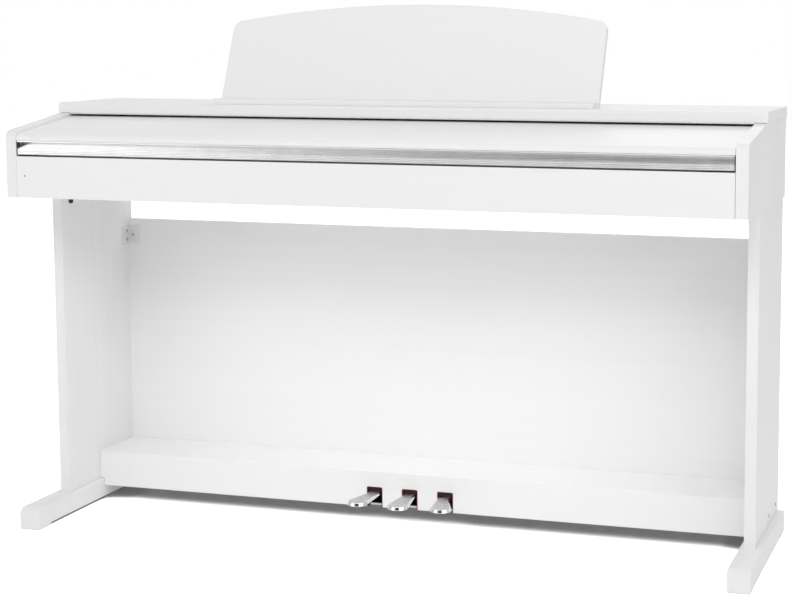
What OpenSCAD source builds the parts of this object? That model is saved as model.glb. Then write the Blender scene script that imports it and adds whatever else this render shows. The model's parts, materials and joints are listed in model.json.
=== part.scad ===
// Slim upright (console) piano: cabinet on two side legs, a key cover that slides back under the
// top board, 88 keys, three pedals and a fixed music rest.
// Millimetres. X runs along the keyboard to the right, Y from the player to the back, Z up.
// The origin is on the floor, at the middle of the width and depth. Inside the modules, Y is
// counted from the front face, and placed() moves it to the middle of the depth.

/* [Cabinet] */
// Width over the two side cheeks
cabinet_w = 1390; // [1386:1:1400]
// Depth from the front board to the back
depth = 427; // [424:1:440]
// Height of the cabinet's underside above the floor
cabinet_z = 642; // [630:1:660]
// Height of the cheeks at their front edge
cheek_front_h = 124.7; // [124:0.1:126]
// Rise of the cheeks' sloping top, per millimetre of depth
cheek_slope = 0.125; // [0.12:0.001:0.127]
// Thickness of the side cheeks
cheek_t = 22; // [20:0.5:22]
// Radius of the cheeks' front top corner
cheek_corner_r = 16; // [8:1:20]
// Thickness of the top board
top_t = 19.5; // [15:0.5:25]
// Distance of the top board's front edge from the front face
top_front_y = 193; // [190:1:196]
// Height of the front board below the keys
front_board_h = 77; // [72:0.5:77]
// Thickness of the front board
front_board_t = 18; // [15:0.5:18]

/* [Stand] */
// Thickness of the legs
leg_t = 20; // [18:0.5:20]
// Distance of the legs' front edge from the front face
leg_front_y = 151; // [140:1:160]
// Width of a foot bar
foot_w = 41.6; // [41:0.1:45]
// Height of a foot bar
foot_h = 41.3; // [38:0.1:42]
// Distance of the foot bars' front end from the front face
foot_front_y = 22.6; // [15:0.1:30]
// Height of the back panel's top edge above the floor
back_panel_top = 560.8; // [550:0.1:570]
// Height of the pedal box's lower edge above the floor
pedal_box_z = 27.4; // [25:0.1:30]
// Height of the pedal box's upper face above the floor
pedal_box_top_z = 97.6; // [95:0.1:105]
// Distance of the pedal box's face from the front face
pedal_box_y = 272; // [268:1:276]

/* [Key cover] */
// Thickness of the cover board
cover_t = 12; // [11:0.5:13]
// Length of the cover board from its lip to its rear edge
cover_len = 204; // [200:1:206]
// Slope of the closed cover, in degrees
cover_tilt = 7.24; // [7:0.01:7.4]
// Radius of the cover's upper front edge
cover_lip_r = 9; // [4:0.5:10]

/* [Keys] */
// Width of the 52 white keys together
keyboard_w = 1225; // [1220:1:1230]
// Gap between two keys
key_gap = 1; // [0.8:0.1:1.4]
// Height of a raised black key above the white keys
black_rise = 10; // [9:0.5:10]

/* [Pedals] */
// Distance between the centres of two pedals
pedal_pitch = 72.5; // [70:0.5:76]
// Length of the middle pedal from its axle to its tip
pedal_len = 169; // [160:1:172]
// Width of a pedal's rounded tip
pedal_tip_w = 41; // [34:1:42]
// How far the outer pedals' tips bend outwards
pedal_splay = 12; // [0:1:14]

/* [Music rest] */
// Width of the music rest
rest_w = 754; // [700:1:800]
// Length of the rest at its middle, along its slope
rest_len = 199; // [180:1:200]
// Lean of the rest from upright, in degrees
rest_lean = 24; // [20:1:24]

/* [Hidden] */
white_names = ["c4", "d4", "e4", "f4", "g4", "a4", "b4"];
black_names = ["c_sharp_4", "d_sharp_4", "f_sharp_4", "g_sharp_4", "a_sharp_4"];
$fn = 48;

laminate = "whitesmoke";
steel = "silver";

inner_w = cabinet_w - 2 * cheek_t;      // clear width between the cheeks
fit_gap = 0.5;                          // gap where a board is set between two others
top_z = cabinet_z + 169;                // upper face of the top board
top_under = top_z - top_t;              // lower face of the top board
top_overhang = 1.3;                     // how far the top board stands past a cheek
top_edge_r = 6;
keybed_t = 18;
keybed_top = cabinet_z + keybed_t;
back_t = 10;                            // cabinet back
panel_t = 16;                           // back panel
leg_x = inner_w / 2 - 1.5;              // inner face of a leg
pedal_board_t = 15;
lamp = [-inner_w / 2 + 17, cabinet_z + 41];     // on the front board, as [x, z]
lamp_r = 1.5;
speaker_at = [450, 340];                // as [x, y]
speaker_hole_r = 45;
socket_x = [-561.5, -448.5];            // sides of the socket plate
socket_z = [682.5, 727.5];
foot_x = leg_x - 8.5;                   // inner face of a foot bar
foot_notch_w = leg_x - foot_x + 0.5;    // the box and the panel are cut away over a foot bar

// Key cover mechanism: the front pins climb a sloping groove in the cheeks, and the rear shaft
// runs on along its level end.
cover_w = inner_w - 1;
lip = [0.8, cabinet_z + 105.8];         // lower front edge of the cover board, as [y, z]
front_pin = [40, cabinet_z + 101.5];
rear_pin = [195, cabinet_z + 123];
pin_r = 3;
runner_h = 3.5;                         // half height of a runner
glide_r = 4.2;
track_slope = 0.14;
cover_travel = 165;                     // along Y
track_bend_y = front_pin[0] + cover_travel - 2;
track_half_h = 5.5;                     // half height inside the groove's liner
track_depth = 7.5;                      // from a cheek's inner face to the liner's floor
liner_t = 1;
rail_w = inner_w - 2;
function cover_under(y) = lip[1] + (y - lip[0]) * tan(cover_tilt);
// Outline of the bent groove that the cover's pins run in, for a half height h
function track(h) = let (a = front_pin[0] - 11 - h, b = track_bend_y, c = rear_pin[0] + cover_travel + 6 + h,
    za = track_z(a), zb = track_z(b))
    [[a, za - h], [b, zb - h], [c, zb - h], [c, zb + h], [b, zb + h], [a, za + h]];
function track_z(y) = front_pin[1] + (y - front_pin[0]) * track_slope;

// Keyboard heights and depths
white_top = cabinet_z + 78;
key_under = cabinet_z + 63;
tail_top = key_under + 11;
key_front = 22;
black_front = 73;
key_head_end = 70;                      // end of a white key's full-width head
panel_front = 178;                      // front of the control panel, behind the keys
key_rise_end = 174;                     // the keys step down here, to pass under the panel
key_end = 250;
pivot_y = 240;
pivot_r = 2.5;
black_w = 11;
white_pitch = keyboard_w / 52;
octave_w = 7 * white_pitch;
// A black key's centre, from the left edge of its octave, in white key pitches
black_at = [0.91, 2.09, 3.87, 5, 6.13];
// For each white key of an octave, the black key on its left and on its right, or -1
left_black = [-1, 0, 1, -1, 2, 3, 4];
right_black = [0, 1, -1, 2, 3, 4, -1];
white_count = 52;
first_c = 2;                            // the third white key is the first C
middle_octave = 3;                      // octaves counted from the first C
function octave_x(o) = -keyboard_w / 2 + first_c * white_pitch + o * octave_w;
function black_x(o, b) = octave_x(o) + black_at[b] * white_pitch;

panel_z = white_top + 3;                // lower edge of the control panel
panel_top = cabinet_z + 105;
panel_sheet = 3;
panel_rear = 265;
control_y = 215;                        // row of controls on the panel
power_x = 590;
power_r = 6;
knob_x = 545;
knob_stem_r = 3;
function_x = 500;
function_r = 5;

pedal_axle = [360, 52];                 // as [y, z]
axle_r = 4;
hub_r = 9;
pedal_neck = 13;                        // half width of a pedal in its slot
pedal_tip_t = 7;
pedal_neck_t = 4;
pedal_tip_z = 53;                       // upper face at the tip
pedal_neck_z = 57.8;                    // and in the slot
pedal_tip_depth = 15;                   // how far back the rounding of the tip reaches
outer_shorter = 5;                      // the outer pedals end this far behind the middle one
slot_w = 32;
slot_top = 67;
slot_corner_r = 3;
felt_t = 1.6;
upstop_gap = 0.8;                       // from a resting pedal to the felt that it stops against
base_t = 4;                             // pedal box base
cradle_t = 3;
spring_gap = 1.5;                       // from a pedal's side to its spring

bracket_z = [509, 546];
bracket_arm = 26;
bracket_t = 1.5;
leg_hole_z = [518, 536];
screw_r = 1.6;
leg_screw_y = [310, 392];
leg_screw_z = 60.5;
panel_hole = [leg_x - 11.9, 527.6];     // bracket screw into the back panel, as [x, z]
leg_hole_y = depth - panel_t - 10.5;    // bracket screws into the legs
bolt_y = 183;
bolt_z = cabinet_z - 23;

rest_y = 257;                           // front of the rest at the top of its ledge
ledge_front = 217;
rest_ledge_t = 10;
rest_t = 13;
rest_corner_r = 20;
rest_side = 146;                        // straight part of the rest's side edge
rest_bow = 33;                          // how much higher the middle is than the corners

// ---- helpers ----

// Moves a shape, drawn with Y counted from the front face, to the origin at the middle of the depth
module placed() { translate([0, -depth / 2, 0]) children(); }

// Extrudes an outline drawn as [y, z] along X, between two places
module across(x0, x1) {
    translate([x0, 0, 0]) rotate([90, 0, 90]) linear_extrude(x1 - x0) children();
}

// A plain board between two corners
module board(a, b) { translate(a) cube(b - a); }

// The same shape on the left and the right
module both_sides() {
    children();
    mirror([1, 0, 0]) children();
}

// A cylinder along X, starting at x0
module rod_x(x0, x1, r, y, z) {
    translate([x0, y, z]) rotate([0, 90, 0]) cylinder(h = x1 - x0, r = r);
}

// Points of an arc about c, from angle a0 to a1
function arc(c, r, a0, a1, n = 8) =
    [for (i = [0:n]) let (a = a0 + (a1 - a0) * i / n) c + r * [cos(a), sin(a)]];

// A bent wire of n sides through the points p, which lie in planes across X
module wire(p, r, n = 6) {
    last = len(p) - 1;
    function along(i) = let (d = p[min(i + 1, last)] - p[max(i - 1, 0)]) d / norm(d);
    rings = [for (i = [0:last]) let (t = along(i), s = [1, 0, 0], u = cross(t, s) / norm(cross(t, s)),
        v = cross(u, t)) for (k = [0:n - 1]) p[i] + r * (cos(360 * k / n) * u + sin(360 * k / n) * v)];
    sides = [for (i = [0:last - 1]) for (k = [0:n - 1]) let (m = (k + 1) % n)
        [i * n + k, i * n + m, (i + 1) * n + m, (i + 1) * n + k]];
    ends = [[for (k = [0:n - 1]) n - 1 - k], [for (k = [0:n - 1]) last * n + k]];
    polyhedron(points = rings, faces = concat(sides, ends));
}

// ---- cabinet ----

module cheek() {
    slope_end = (top_under - cabinet_z - cheek_front_h) / cheek_slope;
    r = cheek_corner_r;
    outline = concat([[0, cabinet_z]],
        arc([r, cabinet_z + cheek_front_h - r + 1.5], r, 180, 97),
        [[slope_end, top_under], [depth, top_under], [depth, cabinet_z]]);
    color(laminate) placed() difference() {
        across(inner_w / 2, cabinet_w / 2) polygon(outline);
        across(inner_w / 2 - 1, inner_w / 2 + track_depth + liner_t) polygon(track(track_half_h + liner_t));
    }
}
module left_cheek() { mirror([1, 0, 0]) cheek(); }
module right_cheek() { cheek(); }

module top_board() {
    outline = concat([[top_front_y, top_under]],
        arc([top_front_y + top_edge_r, top_z - top_edge_r], top_edge_r, 180, 90),
        [[depth, top_z], [depth, top_under]]);
    half = cabinet_w / 2 + top_overhang;
    color(laminate) placed() across(-half, half) polygon(outline);
}

module front_board() {
    half = inner_w / 2 - fit_gap;
    color(laminate) placed() difference() {
        board([-half, 0, cabinet_z], [half, front_board_t, cabinet_z + front_board_h]);
        translate([lamp[0], -1, lamp[1]]) rotate([-90, 0, 0])
            cylinder(h = front_board_t + 2, r = lamp_r + 0.1);
    }
}

module status_led() {
    color("tomato") placed() translate([lamp[0], 0, lamp[1]]) rotate([-90, 0, 0]) cylinder(h = 8, r = lamp_r);
}

module keybed() {
    half = inner_w / 2 - fit_gap;
    color("burlywood") placed() difference() {
        board([-half, front_board_t, cabinet_z], [half, depth - back_t, keybed_top]);
        for (s = [-1, 1]) translate([s * speaker_at[0], speaker_at[1], cabinet_z - 1])
            cylinder(h = keybed_t + 2, r = speaker_hole_r);
    }
}

module cabinet_back() {
    half = inner_w / 2 - fit_gap;
    color(laminate) placed() difference() {
        board([-half, depth - back_t, cabinet_z], [half, depth, top_under]);
        board([socket_x[0] - fit_gap, depth - back_t - 1, socket_z[0] - fit_gap],
            [socket_x[1] + fit_gap, depth + 1, socket_z[1] + fit_gap]);
    }
}

// Plate with two line sockets and a power inlet, set into the cabinet back
module rear_sockets() {
    box = [6.5, 7.5];                   // inset of the box behind the plate
    mid_z = (socket_z[0] + socket_z[1]) / 2;
    color("dimgray") placed() difference() {
        union() {
            board([socket_x[0], depth - back_t, socket_z[0]], [socket_x[1], depth - 6, socket_z[1]]);
            board([socket_x[0] + box[0], depth - 47, socket_z[0] + box[1]],
                [socket_x[1] - box[0], depth - back_t, socket_z[1] - box[1]]);
        }
        for (x = [26.5, 56.5]) translate([socket_x[0] + x, depth - 36, mid_z]) rotate([-90, 0, 0])
            cylinder(h = 40, r = 3.25);
        translate([socket_x[0] + 89.5, depth - 18, mid_z]) rotate([-90, 0, 0]) cylinder(h = 20, r = 2.8);
    }
}

// ---- stand ----

module leg() {
    outer = leg_x + leg_t;
    color(laminate) placed() difference() {
        board([leg_x, leg_front_y, foot_h], [outer, depth, cabinet_z]);
        for (y = leg_screw_y) rod_x(leg_x - 1, outer + 1, 2.3, y, leg_screw_z);
        rod_x(leg_x - 1, leg_x + 12.5, 3.1, bolt_y, bolt_z);
        for (z = leg_hole_z) rod_x(leg_x - 1, leg_x + 13, screw_r + 0.1, leg_hole_y, z);
    }
}
module left_leg() { mirror([1, 0, 0]) leg(); }
module right_leg() { leg(); }

module foot_bar() {
    arch = 4;
    outline = [[foot_front_y, 0], [foot_front_y, foot_h - 8.5], [foot_front_y + 11, foot_h],
        [depth, foot_h], [depth, 0], [depth - 40, 0], [depth - 46, arch],
        [foot_front_y + 47, arch], [foot_front_y + 41, 0]];
    color(laminate) placed() across(foot_x, foot_x + foot_w) polygon(outline);
}
module left_foot_bar() { mirror([1, 0, 0]) foot_bar(); }
module right_foot_bar() { foot_bar(); }

// Cuts a board away over the two foot bars
module foot_notches(y0, y1) {
    both_sides() board([leg_x - foot_notch_w, y0, -1], [leg_x + 1, y1, foot_h + 0.5]);
}

module back_panel() {
    color(laminate) placed() difference() {
        board([-leg_x, depth - panel_t, pedal_box_z], [leg_x, depth, back_panel_top]);
        foot_notches(depth - panel_t - 1, depth + 1);
        both_sides() translate([panel_hole[0], depth - panel_t - 1, panel_hole[1]]) rotate([-90, 0, 0])
            cylinder(h = 13, r = screw_r + 0.1);
    }
}

module pedal_box_front() {
    color(laminate) placed() difference() {
        board([-leg_x, pedal_box_y, pedal_box_z], [leg_x, pedal_box_y + pedal_board_t, pedal_box_top_z]);
        foot_notches(pedal_box_y - 1, pedal_box_y + pedal_board_t + 1);
        for (i = [-1:1]) slot(i, pedal_box_y - 1, pedal_box_y + pedal_board_t + 1, 0);
    }
}

// The space of pedal slot i between two depths, drawn in by a margin
module slot(i, y0, y1, margin) {
    half = slot_w / 2 - margin;
    r = slot_corner_r;
    top = slot_top - margin;
    translate([i * pedal_pitch, y1, 0]) rotate([90, 0, 0]) linear_extrude(y1 - y0) polygon(concat(
        [[-half, 0], [half, 0]], arc([half - r, top - r], r, 0, 90), arc([-half + r, top - r], r, 90, 180)));
}

module pedal_box_top() {
    color(laminate) placed() board([-leg_x, pedal_box_y + pedal_board_t, pedal_box_top_z - pedal_board_t],
        [leg_x, depth - panel_t, pedal_box_top_z]);
}

module pedal_box_base() {
    half = foot_x - 1;
    y0 = pedal_box_y + pedal_board_t;
    color("burlywood") placed()
        board([-half, y0, pedal_box_z], [half, depth - panel_t, pedal_box_z + base_t]);
}

// Felt that lines the sides and the top of each pedal slot, with a thick pad over the pedal
module pedal_slot_felts() {
    y0 = pedal_box_y + 0.3;
    y1 = pedal_box_y + pedal_board_t;
    color("darkred") placed() for (i = [-1:1]) difference() {
        slot(i, y0, y1, 0);
        difference() {
            slot(i, y0 - 1, y1 + 1, felt_t);
            board([-100, pedal_box_y + 3, pedal_neck_z + upstop_gap], [100, y1 + 2, slot_top]);
        }
        board([-100, y0 - 1, -1], [100, y1 + 1, pedal_box_z]);
    }
}

// ---- pedals ----

// A pedal lever: narrow at the slot and wide at its round tip, with a hub on the axle
module pedal(i) {
    tip_y = pedal_axle[0] - pedal_len + outer_shorter * abs(i);
    tip = pedal_tip_w / 2;
    tip_x = i * pedal_splay;
    round_y = tip_y + pedal_tip_depth;
    rear = [330, pedal_axle[0] + 12];   // the lever is level and thicker from here to its end
    rear_z = [46, 58];
    waist_y = pedal_box_y - 8;
    turns = [for (a = [-90:15:90]) a];
    plan = concat([for (a = turns) [tip_x + tip * sin(a), round_y - pedal_tip_depth * cos(a)]],
        [[pedal_neck, waist_y], [pedal_neck, rear[1]], [-pedal_neck, rear[1]], [-pedal_neck, waist_y]]);
    side = [[tip_y, pedal_tip_z], [pedal_box_y, pedal_neck_z], [rear[0], rear_z[1]], [rear[1], rear_z[1]],
        [rear[1], rear_z[0]], [rear[0] + 10, rear_z[0]], [rear[0] - 5, pedal_neck_z - pedal_neck_t],
        [pedal_box_y, pedal_neck_z - pedal_neck_t], [round_y, pedal_tip_z + 1.4 - pedal_tip_t],
        [tip_y, pedal_tip_z - pedal_tip_t]];
    color("silver") placed() translate([i * pedal_pitch, 0, 0]) difference() {
        union() {
            intersection() {
                translate([0, 0, 30]) linear_extrude(40) polygon(plan);
                across(-40, 40) polygon(side);
            }
            rod_x(-pedal_neck, pedal_neck, hub_r, pedal_axle[0], pedal_axle[1]);
        }
        rod_x(-pedal_neck - 1, pedal_neck + 1, axle_r + 0.05, pedal_axle[0], pedal_axle[1]);
    }
}
module soft_pedal() { pedal(-1); }
module sostenuto_pedal() { pedal(0); }
module damper_pedal() { pedal(1); }

// Steel cradle on the base board, with four ears that hold the axle
module pedal_cradle() {
    base = pedal_box_z + base_t;
    half = 118;
    y = pedal_axle[0];
    color("dimgray") placed() difference() {
        union() {
            board([-half, y - 13, base], [half, y + 38, base + cradle_t]);
            for (x = [-110, -36, 36, 110]) across(x - 2, x + 2)
                polygon([[y - 11, base], [y + 11, base], [y + 8, 60], [y - 8, 60]]);
        }
        rod_x(-half - 1, half + 1, axle_r + 0.05, y, pedal_axle[1]);
    }
}

module pedal_axle() {
    color(steel) placed() rod_x(-116, 116, axle_r, pedal_axle[0], pedal_axle[1]);
}

// A torsion spring round the axle beside each pedal
module pedal_springs() {
    turns = 3;
    steps = 10;
    coil_r = 7;
    wire_r = 1.1;
    color("gray") placed() for (i = [-1:1]) {
        x0 = i * pedal_pitch + pedal_neck + spring_gap;
        low = pedal_axle[1] - coil_r;
        coil = [for (k = [0:turns * steps]) let (a = -90 + 360 * k / steps)
            [x0 + 2.6 * k / steps, pedal_axle[0] + coil_r * cos(a), pedal_axle[1] + coil_r * sin(a)]];
        wire(concat([[x0, pedal_axle[0] - 26, low]], coil,
            [[x0 + 2.6 * turns, pedal_axle[0] + 24, low]]), wire_r);
    }
}

// ---- stand fittings ----

module panel_brackets() {
    y = depth - panel_t;
    color("lightgray") placed() both_sides() difference() {
        union() {
            board([leg_x - bracket_t, y - bracket_arm, bracket_z[0]], [leg_x, y, bracket_z[1]]);
            board([leg_x - bracket_arm, y - bracket_t, bracket_z[0]], [leg_x, y, bracket_z[1]]);
        }
        for (z = leg_hole_z) rod_x(leg_x - 3, leg_x + 1, screw_r + 0.1, leg_hole_y, z);
        translate([panel_hole[0], y - 3, panel_hole[1]]) rotate([-90, 0, 0])
            cylinder(h = 4, r = screw_r + 0.1);
    }
}

// A round-headed screw along +Z: the head sits on z = 0, above it
module screw(head_r, head_h, shank_r, shank_len) {
    cylinder(h = head_h * 0.5, r = head_r);
    translate([0, 0, head_h * 0.5]) cylinder(h = head_h * 0.5, r1 = head_r, r2 = head_r * 0.55);
    translate([0, 0, -shank_len]) cylinder(h = shank_len, r = shank_r);
}

module bracket_screws() {
    y = depth - panel_t;
    color(steel) placed() both_sides() {
        for (z = leg_hole_z) translate([leg_x - bracket_t, leg_hole_y, z]) rotate([0, -90, 0])
            screw(3.4, 2.2, screw_r, 13);
        translate([panel_hole[0], y - bracket_t, panel_hole[1]]) rotate([90, 0, 0])
            screw(3.4, 2.2, screw_r, 12);
    }
}

module leg_screws() {
    color(steel) placed() both_sides() for (y = leg_screw_y)
        translate([leg_x + leg_t, y, leg_screw_z]) rotate([0, 90, 0]) screw(3.5, 1.6, 2.2, leg_t - 1);
}

module leg_bolt_knobs() {
    color("black") placed() both_sides() translate([leg_x, bolt_y, bolt_z]) rotate([0, -90, 0]) {
        cylinder(h = 5, r = 5);
        translate([0, 0, -12]) cylinder(h = 12, r = 3);
    }
}

// ---- key cover ----

module key_cover() {
    r = cover_lip_r;
    outline = concat([[0, 0], [cover_len, 0], [cover_len, cover_t]],
        arc([r, cover_t - r], r, 90, 180));
    color(laminate) placed() translate([0, lip[0], lip[1]]) rotate([cover_tilt, 0, 0])
        across(-cover_w / 2, cover_w / 2) polygon(outline);
}

// Aluminium grip along the cover's front edge: a flange under the lip, a sloping finger scoop and
// a fluted front
module cover_grip_rail() {
    z = cabinet_z;
    face = 2;
    bar_t = 4.5;
    foot = 80;
    back = 33.5;
    scoop = [[face + 0.3, z + 90.4], [28, z + 102.4]];
    flange_t = 2.4;
    flange_y = 1.2;
    flutes = [for (k = [0:2]) for (p = [[face, 83.2 + 2.6 * k], [face + 0.7, 83.7 + 2.6 * k],
        [face, 84.2 + 2.6 * k]]) [p[0], z + p[1]]];
    outline = concat([[face + bar_t, z + foot], [face, z + foot]], flutes, scoop,
        [[scoop[1][0], cover_under(scoop[1][0]) - flange_t], [flange_y, cover_under(flange_y) - flange_t],
        [flange_y, cover_under(flange_y)], [back, cover_under(back)], [back, z + 101],
        [face + bar_t, z + 89.2]]);
    color("gainsboro") placed() across(-rail_w / 2, rail_w / 2) polygon(outline);
}

// Two front ears with pins, and two rear bearing blocks, screwed under the cover board
module cover_brackets() {
    p = front_pin;
    q = rear_pin;
    ear = [648, 652];                   // sides of a front ear
    bearing = [638, 644];               // sides of a rear bearing block
    ear_r = 6;
    half = 7;
    color(steel) placed() both_sides() {
        across(ear[0], ear[1]) polygon(concat([[p[0] - ear_r, cover_under(p[0] - ear_r)]],
            arc(p, ear_r, 180, 360), [[p[0] + 3 * ear_r, cover_under(p[0] + 3 * ear_r)]]));
        rod_x(ear[1], inner_w / 2 + 6, pin_r, p[0], p[1]);
        difference() {
            across(bearing[0], bearing[1]) polygon([[q[0] - half, q[1] - ear_r], [q[0] + half, q[1] - ear_r],
                [q[0] + half, cover_under(q[0] + half)], [q[0] - half, cover_under(q[0] - half)]]);
            rod_x(bearing[0] - 1, bearing[1] + 1, pin_r + 0.05, q[0], q[1]);
        }
    }
}

// Stiffening shaft across the cover's rear, with a round nylon glide at each end
module cover_shaft() {
    x1 = inner_w / 2;
    color("dimgray") placed() {
        rod_x(-x1 - 6, x1 + 6, pin_r, rear_pin[0], rear_pin[1]);
        both_sides() rod_x(x1 + 0.5, x1 + 6.5, glide_r, rear_pin[0], rear_pin[1]);
    }
}

// Nylon runners on the front pins, in the cheeks' grooves
module cover_runners() {
    half = 6;
    x1 = inner_w / 2;
    color("ivory") placed() both_sides() difference() {
        translate([0, front_pin[0], front_pin[1]]) rotate([atan(track_slope), 0, 0])
            board([x1 + 0.5, -half, -runner_h], [x1 + 6.5, half, runner_h]);
        rod_x(x1, x1 + 7, pin_r + 0.05, front_pin[0], front_pin[1]);
    }
}

// Channels that line the grooves in the cheeks
module cover_tracks() {
    x1 = inner_w / 2;
    color("gray") placed() both_sides() difference() {
        across(x1, x1 + track_depth + liner_t) polygon(track(track_half_h + liner_t));
        across(x1 - 1, x1 + track_depth) polygon(track(track_half_h));
    }
}

// ---- keyboard ----

// Plan outline of white key number n, ending at y_end
module white_outline(n, y_end) {
    note = (n - first_c + 7) % 7;
    o = floor((n - first_c) / 7);
    x0 = -keyboard_w / 2 + n * white_pitch + key_gap / 2;
    x1 = x0 + white_pitch - key_gap;
    side = black_w / 2 + key_gap;
    lb = n == 0 ? -1 : left_black[note];
    rb = n == white_count - 1 ? -1 : right_black[note];
    xl = lb < 0 ? x0 : black_x(o, lb) + side;
    xr = rb < 0 ? x1 : black_x(o, rb) - side;
    polygon([[x0, key_front], [x1, key_front], [x1, key_head_end], [xr, key_head_end],
        [xr, y_end], [xl, y_end], [xl, key_head_end], [x0, key_head_end]]);
}

// The half-round notch under a key, over the rod that it rocks on
module pivot_notch(x0, x1) { rod_x(x0 - 1, x1 + 1, pivot_r + 0.3, pivot_y, key_under); }

module white_key(n) {
    x0 = -keyboard_w / 2 + n * white_pitch + key_gap / 2;
    color("ivory") placed() difference() {
        union() {
            translate([0, 0, key_under]) linear_extrude(tail_top - key_under) white_outline(n, key_end);
            translate([0, 0, tail_top]) linear_extrude(white_top - tail_top) white_outline(n, key_rise_end);
            board([x0, key_front, key_under - 7], [x0 + white_pitch - key_gap, key_front + 3, key_under]);
        }
        pivot_notch(x0, x0 + white_pitch);
    }
}

module black_key(o, b) {
    x = black_x(o, b);
    top = white_top + black_rise;
    color("black") placed() difference() {
        across(x - black_w / 2, x + black_w / 2)
            polygon([[black_front, key_under], [black_front, top - 9], [black_front + 5, top - 1.5],
                [black_front + 8, top], [key_rise_end, top], [key_rise_end, tail_top],
                [key_end, tail_top], [key_end, key_under]]);
        pivot_notch(x - black_w / 2, x + black_w / 2);
    }
}

first_middle = first_c + 7 * middle_octave;
module bass_white_keys() { for (n = [0:first_middle - 1]) white_key(n); }
module treble_white_keys() { for (n = [first_middle + 7:white_count - 1]) white_key(n); }
module bass_black_keys() {
    black_key(-1, 4);
    for (o = [0:middle_octave - 1]) for (b = [0:4]) black_key(o, b);
}
module treble_black_keys() { for (o = [middle_octave + 1:6]) for (b = [0:4]) black_key(o, b); }

// Blocks that close the keyboard at both ends
module key_blocks() {
    color("black") placed() both_sides() board([keyboard_w / 2 + 1.5, front_board_t + 1, keybed_top],
        [inner_w / 2 - fit_gap, panel_front - 3, white_top - 3]);
}

// Key chassis: a tray with a front stop bar, and a rail with the round rod that the keys rock on
module key_chassis() {
    half = keyboard_w / 2 - 0.5;
    tray = keybed_top + 6;
    tray_y = [24, 256];
    stop_y = [30, 44];
    stop_top = tray + 18;
    rail = pivot_r - 0.5;
    color("darkslategray") placed() {
        across(-half, half) polygon([[tray_y[0], keybed_top], [tray_y[0], tray], [stop_y[0], tray],
            [stop_y[0], stop_top], [stop_y[1], stop_top], [stop_y[1], tray], [pivot_y - rail, tray],
            [pivot_y - rail, key_under - 1], [pivot_y + rail, key_under - 1], [pivot_y + rail, tray],
            [tray_y[1], tray], [tray_y[1], keybed_top]]);
        rod_x(-half, half, pivot_r, pivot_y, key_under);
    }
}

// Bent panel behind the keys: slanted front, level top with the controls, rear leg on the keybed
module control_panel() {
    half = inner_w / 2 - fit_gap;
    t = panel_sheet;
    color("dimgray") placed() difference() {
        across(-half, half) polygon([[panel_front, panel_z], [panel_front + t, panel_z],
            [panel_front + 10.5, panel_top - t], [panel_rear - t, panel_top - t],
            [panel_rear - t, keybed_top], [panel_rear, keybed_top], [panel_rear, panel_top],
            [panel_front + 8, panel_top]]);
        for (c = [[power_x, power_r], [function_x, function_r], [knob_x, knob_stem_r]])
            translate([c[0], control_y, panel_top - t - 1]) cylinder(h = t + 2, r = c[1] + 0.25);
    }
}

module push_button(x, r) {
    color("black") placed() translate([x, control_y, 0]) {
        translate([0, 0, panel_top - 8]) cylinder(h = 10.5, r = r);
        translate([0, 0, panel_top - 10]) cylinder(h = 2, r = r + 1.5);
    }
}
module power_button() { push_button(power_x, power_r); }
module function_button() { push_button(function_x, function_r); }

module volume_knob() {
    color("black") placed() translate([knob_x, control_y, 0]) difference() {
        union() {
            translate([0, 0, panel_top + 0.4]) cylinder(h = 7.6, r = 10);
            translate([0, 0, panel_top - 14]) cylinder(h = 14.4, r = knob_stem_r);
        }
        board([-0.6, 4, panel_top + 7.4], [0.6, 11, panel_top + 9]);
    }
}

// ---- inside ----

// A loudspeaker over each hole of the keybed: flange, cone and magnet
module speakers() {
    color("darkslategray") placed() both_sides() translate([speaker_at[0], speaker_at[1], keybed_top])
        rotate_extrude() polygon([[0, 20], [16, 18], [42, 3], [42, 0], [52, 0], [52, 3], [44, 3],
            [26, 26], [26, 40], [0, 40]]);
}

module main_board() {
    z = keybed_top;
    color("green") placed() {
        for (x = [-125, 125]) for (y = [300, 390]) translate([x, y, z]) cylinder(h = 8, r = 3);
        board([-135, 290, z + 8], [135, 400, z + 9.6]);
        board([-90, 310, z + 9.6], [-60, 340, z + 12]);
        board([-20, 330, z + 9.6], [20, 365, z + 12]);
        board([70, 345, z + 9.6], [110, 395, z + 24]);
        for (k = [0:3]) translate([-100 + 14 * k, 385, z + 9.6]) cylinder(h = 12, r = 4);
    }
}

// ---- music rest ----

// The rest's front outline: straight sides, round corners and a bowed top
module rest_outline(bottom) {
    half = rest_w / 2;
    r = rest_corner_r;
    chord = half - r + 3.5;
    bow_r = (chord * chord + rest_bow * rest_bow) / (2 * rest_bow);
    bow = [for (k = [1:31]) let (x = chord * (1 - k / 16))
        [x, rest_len - bow_r + sqrt(bow_r * bow_r - x * x)]];
    side = rest_side - (199 - rest_len);
    polygon(concat([[-half, bottom], [half, bottom]], arc([half - r, side], r, 0, 78),
        bow, arc([-half + r, side], r, 102, 180)));
}

module music_rest_panel() {
    color(laminate) placed() difference() {
        translate([0, rest_y, top_z + 8]) rotate([90 - rest_lean, 0, 0]) translate([0, 0, -rest_t])
            linear_extrude(rest_t) rest_outline(-16);
        board([-rest_w, rest_y - 60, top_z - 60], [rest_w, rest_y + 60, top_z + 0.01]);
    }
}

module music_rest_ledge() {
    back = rest_y - 0.2;
    z1 = top_z + rest_ledge_t;
    r = 3;
    foot = back - (8 * tan(rest_lean));
    color(laminate) placed() across(-rest_w / 2 + 1, rest_w / 2 - 1) polygon(concat(
        [[ledge_front, top_z]], arc([ledge_front + r, z1 - r], r, 180, 90),
        [[back + 2 * tan(rest_lean), z1], [foot, top_z]]));
}

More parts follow.
